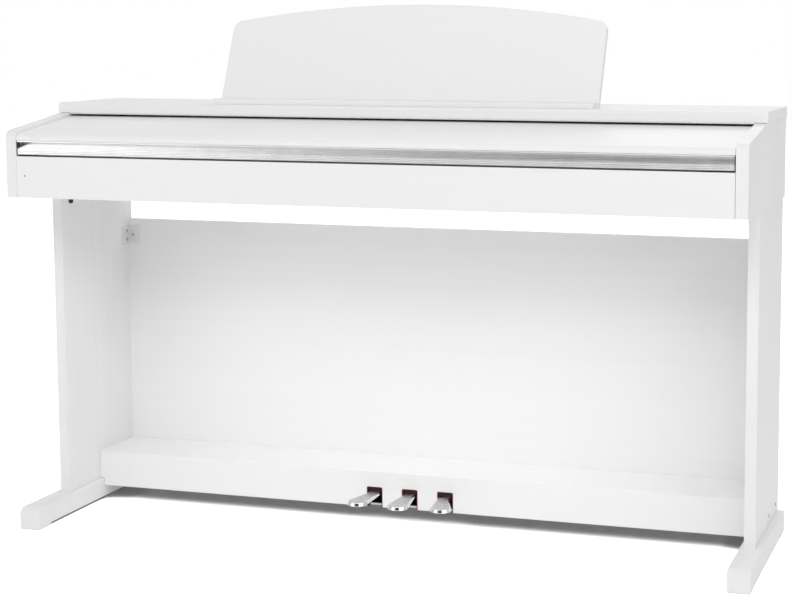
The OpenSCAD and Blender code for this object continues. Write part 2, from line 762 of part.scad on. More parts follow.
// Steel gussets on the top board, behind the rest
module music_rest_brackets() {
    function back_y(z) = rest_y + rest_t / cos(rest_lean) + (z - top_z - 8) * tan(rest_lean) + 0.1;
    color("dimgray") placed() for (x = [-230, 230]) {
        across(x - 2, x + 2) polygon([[back_y(top_z), top_z], [325, top_z], [325, top_z + 6],
            [back_y(top_z + 85) + 5, top_z + 85], [back_y(top_z + 85), top_z + 85]]);
        board([x - 14, back_y(top_z + 3) + 1, top_z], [x + 14, 325, top_z + 2.5]);
    }
}

left_cheek();
right_cheek();
top_board();
front_board();
keybed();
cabinet_back();
left_leg();
right_leg();
left_foot_bar();
right_foot_bar();
back_panel();
pedal_box_front();
pedal_box_top();
pedal_box_base();
pedal_slot_felts();
soft_pedal();
sostenuto_pedal();
damper_pedal();
pedal_cradle();
pedal_axle();
pedal_springs();
panel_brackets();
bracket_screws();
leg_screws();
leg_bolt_knobs();
key_cover();
cover_grip_rail();
cover_brackets();
cover_shaft();
cover_runners();
cover_tracks();
key_blocks();
key_chassis();
control_panel();
for (k = [0:6]) white_key(first_middle + k);
for (k = [0:4]) black_key(middle_octave, k);
bass_white_keys();
bass_black_keys();
treble_white_keys();
treble_black_keys();
power_button();
volume_knob();
function_button();
speakers();
main_board();
rear_sockets();
status_led();
music_rest_panel();
music_rest_ledge();
music_rest_brackets();
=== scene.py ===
"""Upright piano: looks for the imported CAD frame. Metres, row frame: +X right, +Y to the back, +Z up."""
import bpy
import bmesh
import json
import math
from mathutils import Matrix, Vector, noise
from mathutils.bvhtree import BVHTree


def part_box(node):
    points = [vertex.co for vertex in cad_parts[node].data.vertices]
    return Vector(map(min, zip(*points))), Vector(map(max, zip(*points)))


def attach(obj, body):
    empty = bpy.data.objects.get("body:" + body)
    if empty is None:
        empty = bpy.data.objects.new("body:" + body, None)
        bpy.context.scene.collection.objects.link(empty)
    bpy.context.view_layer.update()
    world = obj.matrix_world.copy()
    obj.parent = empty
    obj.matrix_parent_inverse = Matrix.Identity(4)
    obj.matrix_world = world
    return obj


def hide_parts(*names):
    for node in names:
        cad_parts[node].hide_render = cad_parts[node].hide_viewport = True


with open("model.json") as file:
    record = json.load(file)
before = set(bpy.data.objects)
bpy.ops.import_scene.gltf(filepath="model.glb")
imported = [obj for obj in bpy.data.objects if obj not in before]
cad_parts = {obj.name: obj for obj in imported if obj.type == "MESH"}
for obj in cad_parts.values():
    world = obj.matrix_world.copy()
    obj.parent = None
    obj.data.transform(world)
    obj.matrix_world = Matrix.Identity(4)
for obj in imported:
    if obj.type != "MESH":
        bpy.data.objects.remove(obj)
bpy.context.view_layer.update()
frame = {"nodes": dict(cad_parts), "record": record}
NODES = frame["nodes"]
MM = 0.001
ROOM_LIGHT = 0.63
FLOOR_GLOW = 0.2         # light that the floor sends back to the piano
FLOOR_SEEN = 1.0         # and what the camera sees of it


# ---------------------------------------------------------------- camera and light

def make_camera():
    """The photograph's viewing angle: to the right of the piano and a little above its top."""
    data = bpy.data.cameras.new("camera")
    data.sensor_width = 36.0
    data.lens = 81.0
    data.shift_x = -0.1515
    data.shift_y = -0.0869
    data.clip_end = 60
    cam = bpy.data.objects.new("camera", data)
    bpy.context.scene.collection.objects.link(cam)
    cam.location = (1.1618, -3.1164, 0.9557)
    forward = Vector((-0.28386, 0.95216, -0.1132))
    cam.rotation_euler = forward.to_track_quat("-Z", "Y").to_euler()
    bpy.context.scene.camera = cam


def area_light(name, place, target, size, power, shades=True, mirrored=True, spread=180):
    """A rectangular light aimed at a target. It shades matt surfaces, is mirrored in bright ones, or both."""
    data = bpy.data.lights.new(name, "AREA")
    data.shape = "RECTANGLE"
    data.size, data.size_y = size
    data.energy = power
    data.spread = math.radians(spread)
    light = bpy.data.objects.new(name, data)
    light.visible_camera = False
    light.visible_diffuse = shades
    light.visible_glossy = mirrored
    bpy.context.scene.collection.objects.link(light)
    light.location = place
    light.rotation_euler = (Vector(target) - Vector(place)).to_track_quat("-Z", "Y").to_euler()


def make_world():
    """A white room. Seen directly it is pure white; as a light it is softer, so shapes keep their shade."""
    world = bpy.data.worlds.new("studio")
    bpy.context.scene.world = world
    world.use_nodes = True
    tree = world.node_tree
    room = tree.nodes["Background"]
    room.inputs["Color"].default_value = (1.0, 1.0, 1.0, 1.0)
    room.inputs["Strength"].default_value = ROOM_LIGHT
    seen = tree.nodes.new("ShaderNodeBackground")
    seen.inputs["Color"].default_value = (1.0, 1.0, 1.0, 1.0)
    seen.inputs["Strength"].default_value = 1.0
    paths = tree.nodes.new("ShaderNodeLightPath")
    mix = tree.nodes.new("ShaderNodeMixShader")
    tree.links.new(paths.outputs["Is Camera Ray"], mix.inputs[0])
    tree.links.new(room.outputs[0], mix.inputs[1])
    tree.links.new(seen.outputs[0], mix.inputs[2])
    tree.links.new(mix.outputs[0], tree.nodes["World Output"].inputs["Surface"])


def make_lights():
    """Soft boxes in front, to the right and behind, two mirrored cards, and one card under the keybed."""
    make_world()
    area_light("front_box", (0.6, -3.4, 3.2), (0.0, 0.0, 0.4), (3.0, 2.0), 57, mirrored=False)
    area_light("right_box", (3.4, -3.0, 2.2), (0.0, 0.0, 0.4), (2.5, 2.0), 14)
    area_light("back_box", (0.0, 2.6, 3.0), (0.0, 0.0, 0.5), (3.0, 1.5), 32)
    area_light("left_card", (-2.7, -3.2, 0.75), (-0.4, 0.0, 0.7), (1.6, 2.4), 20, shades=False)
    area_light("front_card", (1.2, -4.9, 1.5), (0.3, 0.0, 0.4), (4.4, 2.0), 50, shades=False)
    area_light("under_card", (0.0, -0.17, 0.635), (0.0, 0.17, 0.1), (1.1, 0.06), 0.6, spread=90)
    view = bpy.context.scene.view_settings
    view.view_transform = "Standard"
    view.look = "None"


# ---------------------------------------------------------------- material helpers

class Shader:
    """A node material with a Principled shader, and short ways to wire textures into it."""

    def __init__(self, name, **sockets):
        self.material = bpy.data.materials.new(name)
        self.material.use_nodes = True
        self.tree = self.material.node_tree
        self.shader = self.tree.nodes["Principled BSDF"]
        for socket, value in sockets.items():
            self.shader.inputs[socket.replace("_", " ")].default_value = value
        coords = self.tree.nodes.new("ShaderNodeTexCoord")
        self.place = coords.outputs["Object"]

    def node(self, kind, **props):
        made = self.tree.nodes.new(kind)
        for key, value in props.items():
            setattr(made, key, value)
        return made

    def link(self, a, b):
        self.tree.links.new(a, b)

    def stretched(self, scale):
        """Object coordinates, scaled along each axis."""
        mapping = self.node("ShaderNodeMapping")
        mapping.inputs["Scale"].default_value = scale
        self.link(self.place, mapping.inputs["Vector"])
        return mapping.outputs["Vector"]

    def noise(self, scale, detail=4, rough=0.55):
        """Noise with scale as features per metre, given for each axis."""
        tex = self.node("ShaderNodeTexNoise")
        tex.inputs["Scale"].default_value = 1.0
        tex.inputs["Detail"].default_value = detail
        tex.inputs["Roughness"].default_value = rough
        self.link(self.stretched(scale), tex.inputs["Vector"])
        return tex.outputs["Fac"]

    def spread(self, value, low, high, out_low=0.0, out_high=1.0):
        """Maps value from low..high to out_low..out_high."""
        ranged = self.node("ShaderNodeMapRange")
        for socket, number in (("From Min", low), ("From Max", high),
                               ("To Min", out_low), ("To Max", out_high)):
            ranged.inputs[socket].default_value = number
        self.link(value, ranged.inputs["Value"])
        return ranged.outputs["Result"]

    def maths(self, operation, a, b):
        made = self.node("ShaderNodeMath", operation=operation)
        for socket, value in zip(made.inputs, (a, b)):
            if isinstance(value, (int, float)):
                socket.default_value = value
            else:
                self.link(value, socket)
        return made.outputs["Value"]

    def blend(self, factor, low, high):
        """A colour between low and high."""
        mix = self.node("ShaderNodeMix", data_type="RGBA")
        mix.inputs["A"].default_value = (*low, 1.0)
        mix.inputs["B"].default_value = (*high, 1.0)
        self.link(factor, mix.inputs["Factor"])
        return mix.outputs["Result"]

    def colour(self, result):
        self.link(result, self.shader.inputs["Base Color"])

    def roughness(self, result):
        self.link(result, self.shader.inputs["Roughness"])

    def bump(self, height, distance, strength=1.0):
        bump = self.node("ShaderNodeBump")
        bump.inputs["Distance"].default_value = distance
        bump.inputs["Strength"].default_value = strength
        self.link(height, bump.inputs["Height"])
        self.link(bump.outputs["Normal"], self.shader.inputs["Normal"])


# ---------------------------------------------------------------- materials

GRAIN_ALONG = {"x": (1.2, 240, 240), "y": (240, 1.2, 240), "z": (240, 240, 1.2)}


def laminate(name, grain, contrast=1.0):
    """White laminate: a faint pressed grain along one axis, over soft clouding."""
    s = Shader(name)
    grain_scale = GRAIN_ALONG[grain]
    fine = s.noise(grain_scale, 5, 0.6)
    wide = s.noise(tuple(v / 7 for v in grain_scale), 3, 0.5)
    cloud = s.noise((4, 4, 4), 2, 0.5)
    tone = s.maths("ADD", s.maths("MULTIPLY", fine, 0.40), s.maths("MULTIPLY", wide, 0.40))
    tone = s.maths("ADD", tone, s.maths("MULTIPLY", cloud, 0.2))
    light, dark = 0.872, 0.872 - 0.030 * contrast
    s.colour(s.blend(s.spread(tone, 0.36, 0.64), (dark, dark, dark), (light, light, light)))
    s.roughness(s.spread(fine, 0.3, 0.7, 0.40, 0.52))
    s.bump(tone, 0.0002, 0.3)
    return s.material


def brushed_metal(name, low, high, along, rough=(0.24, 0.40), depth=0.00012):
    """Metal drawn along one axis: long thin streaks in tone, gloss and height."""
    s = Shader(name, Metallic=1.0)
    streak = s.noise({"x": (4, 1800, 1800), "y": (1800, 4, 1800), "z": (1800, 1800, 4)}[along], 4, 0.6)
    cloud = s.noise((30, 30, 30), 3, 0.5)
    tone = s.maths("ADD", s.maths("MULTIPLY", streak, 0.7), s.maths("MULTIPLY", cloud, 0.3))
    s.colour(s.blend(s.spread(tone, 0.35, 0.65), low, high))
    s.roughness(s.spread(streak, 0.3, 0.7, *rough))
    s.bump(streak, depth, 0.5)
    return s.material


def satin_nickel():
    """Pedal top: bead-blasted nickel with fine scuffs from shoes."""
    s = Shader("satin_nickel", Metallic=1.0)
    grit = s.noise((1500, 1500, 1500), 2, 0.5)
    scuff = s.noise((260, 160, 260), 5, 0.65)
    tone = s.maths("ADD", s.maths("MULTIPLY", grit, 0.35), s.maths("MULTIPLY", scuff, 0.65))
    s.colour(s.blend(s.spread(tone, 0.38, 0.62), (0.47, 0.47, 0.455), (0.78, 0.78, 0.765)))
    s.roughness(s.spread(scuff, 0.3, 0.7, 0.32, 0.52))
    s.bump(tone, 0.00015, 0.5)
    return s.material


def polished(name, low, high, rough=(0.06, 0.14)):
    s = Shader(name, Metallic=1.0)
    cloud = s.noise((90, 90, 90), 4, 0.6)
    s.colour(s.blend(s.spread(cloud, 0.3, 0.7), low, high))
    s.roughness(s.spread(cloud, 0.3, 0.7, *rough))
    s.bump(s.noise((700, 700, 700), 2, 0.5), 0.00003, 0.4)
    return s.material


def moulded(name, low, high, rough, grain=900, depth=0.00012, **sockets):
    """Moulded plastic or a sprayed coat: fine pimpled texture with slight clouding."""
    s = Shader(name, **sockets)
    pimple = s.noise((grain, grain, grain), 3, 0.5)
    cloud = s.noise((22, 22, 22), 3, 0.5)
    s.colour(s.blend(s.spread(s.maths("MULTIPLY", s.maths("ADD", pimple, cloud), 0.5), 0.38, 0.62),
                     low, high))
    s.roughness(s.spread(pimple, 0.3, 0.7, *rough))
    s.bump(pimple, depth, 0.5)
    return s.material


def felt(name, dark, light):
    s = Shader(name, Sheen_Weight=0.08, Sheen_Roughness=0.5)
    fuzz = s.noise((1900, 1900, 1900), 6, 0.75)
    mat = s.noise((260, 260, 260), 4, 0.6)
    tone = s.maths("ADD", s.maths("MULTIPLY", fuzz, 0.6), s.maths("MULTIPLY", mat, 0.4))
    s.colour(s.blend(s.spread(tone, 0.32, 0.68), dark, light))
    s.roughness(s.spread(fuzz, 0.2, 0.8, 0.85, 1.0))
    s.bump(tone, 0.0006, 0.8)
    return s.material


def paper_cone():
    s = Shader("paper_cone")
    fibre = s.noise((600, 600, 600), 7, 0.75)
    s.colour(s.blend(s.spread(fibre, 0.3, 0.7), (0.02, 0.02, 0.022), (0.07, 0.068, 0.066)))
    s.roughness(s.spread(fibre, 0.3, 0.7, 0.7, 0.95))
    s.bump(fibre, 0.0004, 0.6)
    return s.material


def solder_mask():
    """Circuit board: green lacquer over a grid of copper tracks."""
    s = Shader("solder_mask")
    tracks = s.node("ShaderNodeTexBrick")
    tracks.inputs["Scale"].default_value = 1.0
    tracks.inputs["Mortar Size"].default_value = 0.09
    s.link(s.stretched((260, 260, 260)), tracks.inputs["Vector"])
    cloud = s.noise((60, 60, 60), 3, 0.5)
    tone = s.maths("ADD", s.maths("MULTIPLY", tracks.outputs["Fac"], 0.6), s.maths("MULTIPLY", cloud, 0.4))
    s.colour(s.blend(s.spread(tone, 0.1, 0.8), (0.010, 0.10, 0.045), (0.03, 0.24, 0.11)))
    s.roughness(s.spread(cloud, 0.3, 0.7, 0.22, 0.38))
    s.bump(tracks.outputs["Fac"], 0.0001, 0.6)
    return s.material


def lamp_lens():
    s = Shader("lamp_lens", Coat_Weight=0.6, Coat_Roughness=0.08)
    cloud = s.noise((900, 900, 900), 2, 0.5)
    s.colour(s.blend(s.spread(cloud, 0.3, 0.7), (0.10, 0.08, 0.078), (0.20, 0.16, 0.155)))
    s.roughness(s.spread(cloud, 0.3, 0.7, 0.12, 0.25))
    s.bump(cloud, 0.00004, 0.5)
    return s.material


MAT = {
    "laminate_x": laminate("laminate_along_x", "x", 0.6),
    "laminate_z": laminate("laminate_along_z", "z", 1.6),
    "laminate_y": laminate("laminate_along_y", "y"),
    "rail": brushed_metal("rail_aluminium", (0.80, 0.80, 0.80), (0.95, 0.95, 0.95), "x", (0.22, 0.36)),
    "steel": brushed_metal("zinc_steel", (0.42, 0.42, 0.43), (0.66, 0.66, 0.67), "x", (0.24, 0.42)),
    "nickel": satin_nickel(),
    "lip": polished("polished_nickel", (0.76, 0.76, 0.77), (0.88, 0.88, 0.89)),
    "black_metal": moulded("black_powder_coat", (0.012, 0.012, 0.013), (0.035, 0.035, 0.037), (0.38, 0.55)),
    "white_metal": moulded("white_enamel", (0.72, 0.72, 0.715), (0.82, 0.82, 0.815), (0.28, 0.40), 500),
    "white_key": moulded("white_key", (0.83, 0.825, 0.80), (0.88, 0.875, 0.855), (0.10, 0.18), 300, 0.00003,
                         Coat_Weight=0.4, Coat_Roughness=0.06),
    "black_key": moulded("black_key", (0.010, 0.010, 0.011), (0.024, 0.024, 0.026), (0.28, 0.42), 1200),
    "black_plastic": moulded("black_plastic", (0.018, 0.018, 0.020), (0.045, 0.045, 0.048), (0.42, 0.60)),
    "nylon": moulded("nylon", (0.62, 0.60, 0.54), (0.74, 0.72, 0.66), (0.35, 0.5), 500,
                     Subsurface_Weight=0.15, Subsurface_Scale=0.004),
    "felt": felt("red_felt", (0.05, 0.002, 0.005), (0.18, 0.010, 0.018)),
    "white_felt": felt("white_felt", (0.60, 0.60, 0.60), (0.86, 0.86, 0.86)),
    # Near-black felt for the slot pads: painted shade for the dark pedal slots.
    "painted_shade_felt": felt("painted_shade_felt", (0.010, 0.008, 0.009), (0.045, 0.035, 0.038)),
    "cone": paper_cone(),
    "board": solder_mask(),
    "lamp": lamp_lens(),
}

SLOT_MATERIAL = {
    "white_laminate": "laminate_x", "rail_aluminium": "rail",
    "bright_steel": "steel", "pedal_metal": "nickel", "black_metal": "black_metal",
    "white_metal": "white_metal", "white_key": "white_key", "black_key": "black_key",
    "black_plastic": "black_plastic", "nylon": "nylon", "red_felt": "felt",
    "circuit_board": "board", "speaker_cone": "cone", "lamp_red": "lamp",
}
NODE_SLOT = {part["node"]: part["material_slot"] for part in frame["record"]["subparts"]}
NODE_BODY = {node: body for body, nodes in frame["record"]["behaviour"]["bodies"].items() for node in nodes}


def dress_cad_nodes():
    for name, obj in NODES.items():
        obj.data.materials.clear()
        obj.data.materials.append(MAT[SLOT_MATERIAL[NODE_SLOT[name]]])


# ---------------------------------------------------------------- mesh helpers

def new_piece(name, bm, materials, smooth_angle=35):
    """A mesh object from bm, shaded smooth below smooth_angle degrees; large flat faces stay flat."""
    mesh = bpy.data.meshes.new(name)
    bmesh.ops.recalc_face_normals(bm, faces=bm.faces)
    for edge in bm.edges:
        sharp = len(edge.link_faces) != 2 or edge.calc_face_angle(0) > math.radians(smooth_angle)
        edge.smooth = not sharp
    for face in bm.faces:
        face.smooth = True
    bm.to_mesh(mesh)
    bm.free()
    obj = bpy.data.objects.new(name, mesh)
    bpy.context.scene.collection.objects.link(obj)
    for material in materials:
        mesh.materials.append(MAT[material])
    obj.modifiers.new("flat_faces", "WEIGHTED_NORMAL").keep_sharp = True
    return obj


def settle(obj, node, replaces=True):
    """The piece rides with a CAD node and, where it replaces it, stands for it."""
    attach(obj, NODE_BODY[node])
    if replaces:
        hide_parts(node)
    return obj


def cad_mesh(node):
    """A clean copy of a CAD node's mesh, with its flat faces whole."""
    bm = bmesh.new()
    bm.from_mesh(NODES[node].data)
    bmesh.ops.remove_doubles(bm, verts=bm.verts, dist=1e-6)
    bmesh.ops.dissolve_limit(bm, angle_limit=math.radians(0.5), verts=bm.verts, edges=bm.edges)
    return bm


def round_edges(bm, width, segments=3, least_angle=30, pick=None):
    """Rounds over the hard edges, or those of them that pick chooses."""
    hard = [e for e in bm.edges
            if len(e.link_faces) == 2 and e.calc_face_angle(0) > math.radians(least_angle)
            and (pick is None or pick(e))]
    bmesh.ops.bevel(bm, geom=hard, offset=width, offset_type="OFFSET", segments=segments,
                    profile=0.5, affect="EDGES", clamp_overlap=True)


def eased(node, width, material, segments=3):
    """The CAD node's own shape, with every hard edge rounded over."""
    bm = cad_mesh(node)
    round_edges(bm, width, segments)
    return settle(new_piece(node + "_eased", bm, [material], 50), node)


def solids(node):
    """The lowest and highest corner of each separate solid in a CAD node."""
    bm = bmesh.new()
    bm.from_mesh(NODES[node].data)
    bmesh.ops.remove_doubles(bm, verts=bm.verts, dist=1e-6)
    seen = set()
    corners = []
    for start in bm.verts:
        if start in seen:
            continue
        seen.add(start)
        found = [start]
        for vert in found:
            for edge in vert.link_edges:
                other = edge.other_vert(vert)
                if other not in seen:
                    seen.add(other)
                    found.append(other)
        low = Vector(min(v.co[i] for v in found) for i in range(3))
        high = Vector(max(v.co[i] for v in found) for i in range(3))
        corners.append((low, high))
    bm.free()
    return sorted(corners, key=lambda pair: tuple(pair[0]))


def aimed(place, way):
    """A matrix that puts the local origin at place and turns local +Z to way."""
    return Matrix.Translation(place) @ Vector(way).to_track_quat("Z", "Y").to_matrix().to_4x4()


def join_rings(bm, rings, closed=False, material=0):
    """Faces between neighbouring rings of vertices. A ring of one vertex is a pole."""
    pairs = list(zip(rings, rings[1:]))
    if closed:
        pairs.append((rings[-1], rings[0]))
    for one, two in pairs:
        count = max(len(one), len(two))
        for k in range(count):
            m = (k + 1) % count
            corners = (one[k % len(one)], one[m % len(one)], two[m % len(two)], two[k % len(two)])
            face = bm.faces.new(list(dict.fromkeys(corners)))
            face.material_index = material


def lathe(bm, profile, place, sides=32, material=0, closed=False, ribs=None):
    """Turns (radius, height) points about local Z. ribs = (smallest radius, depth) cuts a knurl."""
    rings = []
    for radius, height in profile:
        if radius == 0:
            rings.append([bm.verts.new(place @ Vector((0, 0, height)))])
            continue
        ring = []
        for k in range(sides):
            angle = math.tau * k / sides
            cut = ribs[1] if ribs and radius >= ribs[0] and k % 4 < 2 else 0
            spot = Vector(((radius - cut) * math.cos(angle), (radius - cut) * math.sin(angle), height))
            ring.append(bm.verts.new(place @ spot))
        rings.append(ring)
    join_rings(bm, rings, closed, material)


def prism(bm, outline, x0, x1, material=0):
    """An outline of (y, z) points, extruded along X."""
    ends = [[bm.verts.new((x, y, z)) for y, z in outline] for x in (x0, x1)]
    join_rings(bm, ends, material=material)
    for ring in ends:
        bm.faces.new(ring).material_index = material


def block(bm, low, high, ease=0.0, material=0):
    """A box with rounded edges."""
    made = bmesh.ops.create_cube(bm, size=1.0)["verts"]
    low, high = Vector(low), Vector(high)
    for vert in made:
        vert.co = (low + high) / 2 + Vector(a * b for a, b in zip(vert.co, high - low))
    faces = {f for v in made for f in v.link_faces}
    for face in faces:
        face.material_index = material
    if ease:
        edges = list({e for v in made for e in v.link_edges})
        bmesh.ops.bevel(bm, geom=edges, offset=ease, segments=2, profile=0.5, affect="EDGES",
                        offset_type="OFFSET", clamp_overlap=True)


def tube(bm, path, radius, sides=12, material=0):
    """A round wire along a path of points."""
    rings = []
    side = (path[1] - path[0]).orthogonal()
    for i, point in enumerate(path):
        ahead = (path[min(i + 1, len(path) - 1)] - path[max(i - 1, 0)]).normalized()
        side = (side - ahead * side.dot(ahead)).normalized()
        up = ahead.cross(side)
        turns = [math.tau * k / sides for k in range(sides)]
        rings.append([bm.verts.new(point + radius * (math.cos(a) * side + math.sin(a) * up)) for a in turns])
    join_rings(bm, rings, material=material)
    for ring in (rings[0], rings[-1]):
        bm.faces.new(ring).material_index = material


def arc(centre, radius, first, last, steps):
    """Points of an arc in a plane, angles in degrees."""
    angles = [math.radians(first + (last - first) * k / steps) for k in range(steps + 1)]
    return [(centre[0] + radius * math.cos(a), centre[1] + radius * math.sin(a)) for a in angles]


# ---------------------------------------------------------------- screws

# A head's outline as shares of its radius and of its height
PAN_HEAD = ((1.0, 0.0), (1.0, 0.42), (0.94, 0.72), (0.82, 0.92), (0.66, 1.0))
FLAT_HEAD = ((0.55, 0.0), (0.98, 0.86), (1.0, 0.93), (0.97, 1.0), (0.66, 1.0))


def screw_head(bm, place, radius, height, dome=PAN_HEAD):
    """A head with a cross recess, standing on the local origin."""
    arm, half = 0.52 * radius, 0.13 * radius
    corner = math.atan2(half, arm)
    turns = [q * math.pi / 2 + a for q in range(4) for a in (-corner, 0, corner, math.pi / 4)]
    reach = [math.hypot(arm, half), arm, math.hypot(arm, half), half * math.sqrt(2)] * 4

    def ring(radii, level):
        return [bm.verts.new(place @ Vector((r * math.cos(a), r * math.sin(a), level)))
                for r, a in zip(radii, turns)]

    rings = [ring([radius * share] * 16, height * level) for share, level in dome]
    rings.append(ring(reach, height))
    rings.append(ring([0.7 * r for r in reach], 0.3 * height))
    join_rings(bm, rings)
    bm.faces.new(rings[0])
    bm.faces.new(rings[-1])


def threaded_shank(bm, place, radius, length, pitch=1.1 * MM):
    """A shank below the local origin, with ridges for its thread."""
    ridges = int((length - 2 * radius) / pitch)
    profile = [(0, 0), (radius, 0)]
    for k in range(ridges):
        profile += [(radius, -pitch * (k + 0.2)), (0.78 * radius, -pitch * (k + 0.7))]
    lathe(bm, profile + [(0.75 * radius, 1.5 * radius - length), (0, -length)], place, 16)


def screws(node, head_radius, head_height, shank_radius, way_of):
    """Replaces a node of screws, each where its CAD solid is and facing way_of(its corners)."""
    bm = bmesh.new()
    for low, high in solids(node):
        way = way_of(low, high)
        reach = abs(way.dot(high - low)) / 2
        place = aimed((low + high) / 2 + way * (reach - head_height), way)
        screw_head(bm, place, head_radius, head_height)
        threaded_shank(bm, place, shank_radius, 2 * reach - head_height)
    return settle(new_piece(node + "_turned", bm, ["steel"]), node)


def make_screws():
    def inwards(low, high):
        return Vector((-math.copysign(1, low.x), 0, 0))

    def along_bracket(low, high):
        return inwards(low, high) if high.x - low.x > high.y - low.y else Vector((0, -1, 0))

    screws("bracket_screws", 3.4 * MM, 2.2 * MM, 1.6 * MM, along_bracket)
    screws("leg_screws", 3.5 * MM, 1.6 * MM, 2.2 * MM, lambda low, high: -inwards(low, high))


def extra_screws(name, spots, way, radius, height, dome):
    """Screws that the CAD model has no node for."""
    bm = bmesh.new()
    for spot in spots:
        place = aimed(Vector(spot), way)
        screw_head(bm, place, radius, height, dome)
        threaded_shank(bm, place, 0.45 * radius, 4 * radius)
    piece = new_piece(name, bm, ["steel"])
    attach(piece, "root")


def make_extra_screws():
    low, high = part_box("cabinet_back")
    edge = 9 * MM
    sink = 1.2 * MM
    columns = [low.x + edge + (high.x - low.x - 2 * edge) * k / 10 for k in range(11)]
    spots = [(x, high.y - sink, z) for x in columns for z in (low.z + edge, high.z - edge)]
    spots += [(x, high.y - sink, (low.z + high.z) / 2) for x in (columns[0], columns[-1])]
    extra_screws("cabinet_back_screws", spots, (0, 1, 0), 3.2 * MM, 1.25 * MM, FLAT_HEAD)
    flange_t = 2.5 * MM
    spots = [((low.x + high.x) / 2 + offset, low.y + share * (high.y - low.y), low.z + flange_t)
             for low, high in solids("music_rest_brackets")
             for offset in (-9 * MM, 9 * MM) for share in (0.45, 0.85)]
    extra_screws("rest_bracket_screws", spots, (0, 0, 1), 2.8 * MM, 1.8 * MM, PAN_HEAD)
    low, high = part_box("pedal_cradle")
    spots = [(low.x + share * (high.x - low.x), low.y + 0.78 * (high.y - low.y), low.z + 3 * MM)
             for share in (0.08, 0.5, 0.92)]
    extra_screws("cradle_screws", spots, (0, 0, 1), 3.2 * MM, 2.0 * MM, PAN_HEAD)


# ---------------------------------------------------------------- cabinet and stand

def make_boards():
    """Laminated boards: thin edging rounded over, with the grain along each board."""
    for node in ("top_board", "front_board", "pedal_box_front", "pedal_box_top", "back_panel",
                 "key_cover", "music_rest_panel", "cabinet_back", "music_rest_ledge", "keybed"):
        eased(node, 0.8 * MM, "laminate_x")
    for node in ("left_leg", "right_leg"):
        eased(node, 1.6 * MM, "laminate_z")
    for node in ("left_cheek", "right_cheek"):
        eased(node, 1.2 * MM, "laminate_z")
    for node in ("left_foot_bar", "right_foot_bar"):
        eased(node, 2.0 * MM, "laminate_y")
    make_box_base()


def make_box_base():
    """The pedal box's thin base: laminated below and at its edges; its top is black, as painted shade for the
    dark inside of the box.
    """
    bm = cad_mesh("pedal_box_base")
    round_edges(bm, 0.4 * MM, 2)
    for face in bm.faces:
        # Upward faces get the black coat: painted shade inside the pedal box.
        face.material_index = int(face.normal.z > 0.5)
    settle(new_piece("pedal_box_base_painted_shade", bm, ["laminate_x", "black_metal"]), "pedal_box_base")


def make_panel_brackets():
    """Stamped angle brackets: round free corners, a soft bend and broken edges."""
    bm = cad_mesh("panel_brackets")
    low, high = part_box("panel_brackets")
    inner_x = min(abs(v.co.x) for v in bm.verts)

    def free_corner(edge):
        a, b = (v.co for v in edge.verts)
        along_x = abs(a.x - b.x) > 0.9 * edge.calc_length()
        along_y = abs(a.y - b.y) > 0.9 * edge.calc_length()
        at_end = any(max(abs(a.z - end), abs(b.z - end)) < 1e-5 for end in (low.z, high.z))
        at_front = abs(a.y - low.y) < 1e-5 and abs(b.y - low.y) < 1e-5
        at_inner = abs(abs(a.x) - inner_x) < 1e-5 and abs(abs(b.x) - inner_x) < 1e-5
        return at_end and ((along_x and at_front) or (along_y and at_inner))

    round_edges(bm, 5 * MM, 8, pick=free_corner)
    round_edges(bm, 0.35 * MM, 2, 40)
    settle(new_piece("panel_brackets_stamped", bm, ["white_metal"], 40), "panel_brackets")


def make_leg_bolts():
    """Socket-head bolts with a knurled rim, at the tops of the legs."""
    bm = bmesh.new()
    for low, high in solids("leg_bolt_knobs"):
        way = Vector((-math.copysign(1, low.x), 0, 0))
        radius = (high.z - low.z) / 2
        head = 5 * MM
        place = aimed((low + high) / 2 + way * ((high.x - low.x) / 2 - head), way)
        socket = 0.55 * radius
        lathe(bm, [(0.94 * radius, 0), (radius, 0.4 * MM), (radius, head - 1.4 * MM)], place, 48,
              ribs=(radius, 0.28 * MM))
        lathe(bm, [(radius - 0.28 * MM, head - 1.4 * MM), (radius - 0.5 * MM, head - 0.4 * MM),
                   (radius - 1.0 * MM, head), (socket, head)], place, 48)
        lathe(bm, [(socket, head), (socket, head - 3.5 * MM), (0, head - 3.8 * MM)], place, 6)
        threaded_shank(bm, place, 3 * MM, high.x - low.x - head)
    settle(new_piece("leg_bolts", bm, ["black_metal"]), "leg_bolt_knobs")


def make_lamp():
    """A small lens with a domed front."""
    low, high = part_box("status_led")
    radius = (high.x - low.x) / 2
    rise, length = 0.5 * MM, high.y - low.y
    dome = [(radius * math.sin(math.radians(a)), rise * math.cos(math.radians(a))) for a in (15, 35, 55, 75)]
    place = aimed(((low.x + high.x) / 2, low.y, (low.z + high.z) / 2), (0, -1, 0))
    bm = bmesh.new()
    lathe(bm, [(0, rise)] + dome + [(radius, 0), (radius, -length), (0, -length)], place, 24)
    settle(new_piece("status_lens", bm, ["lamp"], 60), "status_led")


# ---------------------------------------------------------------- pedals

PEDAL_NECK = 13 * MM
PEDAL_TIP = 20.5 * MM
TIP_DEPTH = 15 * MM
PEDAL_TOP = 57.8 * MM
AXLE = sum(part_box("pedal_axle"), Vector()) / 2
# The pedal's edge from its tread down, as (inset, drop): a bright round, a lip that leans back, a soft foot
PEDAL_EDGE = [(a * MM, b * MM) for a, b in (
    (3.2, 0), (2.6, 0.08), (2.1, 0.3), (1.75, 0.7), (1.6, 1.1), (1.1, 2.7), (0.6, 4.5), (0.3, 5.6), (0, 6.1),
    (0.15, 6.6), (0.7, 7.0))]


